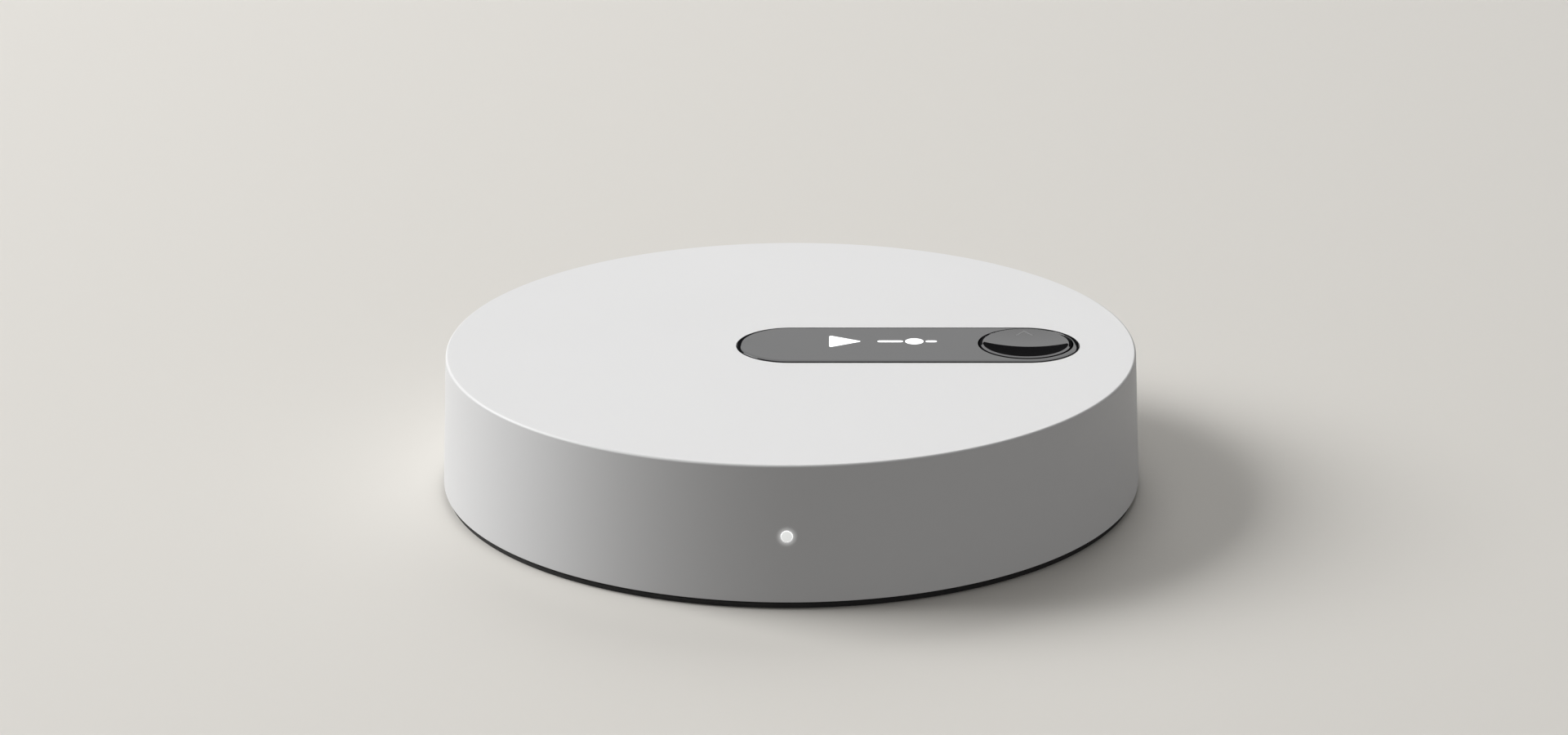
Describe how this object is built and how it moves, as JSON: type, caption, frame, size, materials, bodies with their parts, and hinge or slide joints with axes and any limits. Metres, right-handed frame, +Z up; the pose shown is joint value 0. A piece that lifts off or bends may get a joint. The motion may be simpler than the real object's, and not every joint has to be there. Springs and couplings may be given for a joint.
{
  "type": "streaming media player",
  "caption": "Low round set-top player with a glossy display window in the lid, a dished rocking and pressing button, a front status light and a rear socket bay.",
  "frame": {"origin": "centre of the round footprint, on the surface that the foot ring stands on", "axes": "+Z up out of the lid, +X along the display window towards the button, -Y to the front with the status light, +Y to the rear sockets"},
  "size_m": [0.122, 0.122, 0.0251],
  "materials": {
    "white_shell": "fine matte moulded, white",
    "base_plastic": "fine matte moulded, light grey",
    "foot_rubber": "matte, moulded",
    "bay_plastic": "fine matte moulded, black",
    "window_gloss": "polished, hard coated",
    "button_gloss": "polished black",
    "adhesive_foam": "matte tape",
    "display_glass": "polished display module",
    "inner_plastic": "moulded, dark grey",
    "pale_plastic": "moulded, natural acetal",
    "silicone": "soft satin silicone",
    "steel": "plated steel",
    "shield_metal": "tinned sheet steel",
    "aluminium": "extruded, plain",
    "board_green": "solder-masked glass laminate",
    "chip_black": "moulded epoxy",
    "pad_blue": "soft thermal pad",
    "flex_amber": "polyimide ribbon",
    "antenna_gold": "plated flexible antenna on film",
    "cable_grey": "thin coaxial jacket",
    "coil_grey": "pressed ferrite",
    "can_silver": "capacitor can",
    "lamp_white": "lamp body",
    "light_clear": "clear polished light pipe",
    "tongue_black": "moulded, black",
    "contact_gold": "gold-plated spring contacts"
  },
  "bodies": {
    "housing": {"top_cover": "white_shell", "base_plate": "base_plastic", "foot_ring": "foot_rubber", "base_screws": "steel", "port_bay": "bay_plastic", "display_window": "window_gloss", "window_adhesive": "adhesive_foam", "display_panel": "display_glass", "display_holder": "inner_plastic", "display_screws": "steel", "display_flex": "flex_amber", "nav_guide": "inner_plastic", "nav_keymat": "silicone", "nav_board": "board_green", "nav_screws": "steel", "nav_flex": "flex_amber", "main_board": "board_green", "board_screws": "steel", "processor_chip": "chip_black", "thermal_pad": "pad_blue", "heat_spreader": "aluminium", "memory_chips": "chip_black", "wifi_module": "shield_metal", "left_antenna": "antenna_gold", "right_antenna": "antenna_gold", "antenna_cables": "cable_grey", "power_coils": "coil_grey", "capacitors": "can_silver", "flex_connectors": "pale_plastic", "status_led": "lamp_white", "light_pipe": "light_clear", "hdmi_shell": "shield_metal", "hdmi_tongue": "tongue_black", "power_shell": "shield_metal", "power_tongue": "tongue_black", "lan_jack": "tongue_black", "lan_contacts": "contact_gold", "reset_switch": "shield_metal"},
    "nav_cradle": {"nav_cradle": "pale_plastic", "nav_pin": "steel", "nav_clip": "steel"},
    "nav_cap": {"nav_cap": "button_gloss"},
    "reset_button": {"reset_button": "inner_plastic"}
  },
  "joints": [
    {"name": "nav_press", "type": "slide", "parent": "housing", "child": "nav_cradle", "axis": [0, 0, -1], "range_m": [0, 0.0004], "stiffness_N_per_m": 3000, "springref_m": -0.00005, "deforming": ["nav_keymat"]},
    {"name": "nav_rock", "type": "hinge", "parent": "nav_cradle", "child": "nav_cap", "pos_m": [0.0409, 0, 0.0202], "axis": [1, 0, 0], "range_deg": [-2.5, 2.5], "stiffness_Nm_per_rad": 0.13, "deforming": ["nav_keymat"]},
    {"name": "reset_press", "type": "slide", "parent": "housing", "child": "reset_button", "axis": [0, -1, 0], "range_m": [0, 0.0003], "stiffness_N_per_m": 4000, "springref_m": -0.00005}
  ]
}
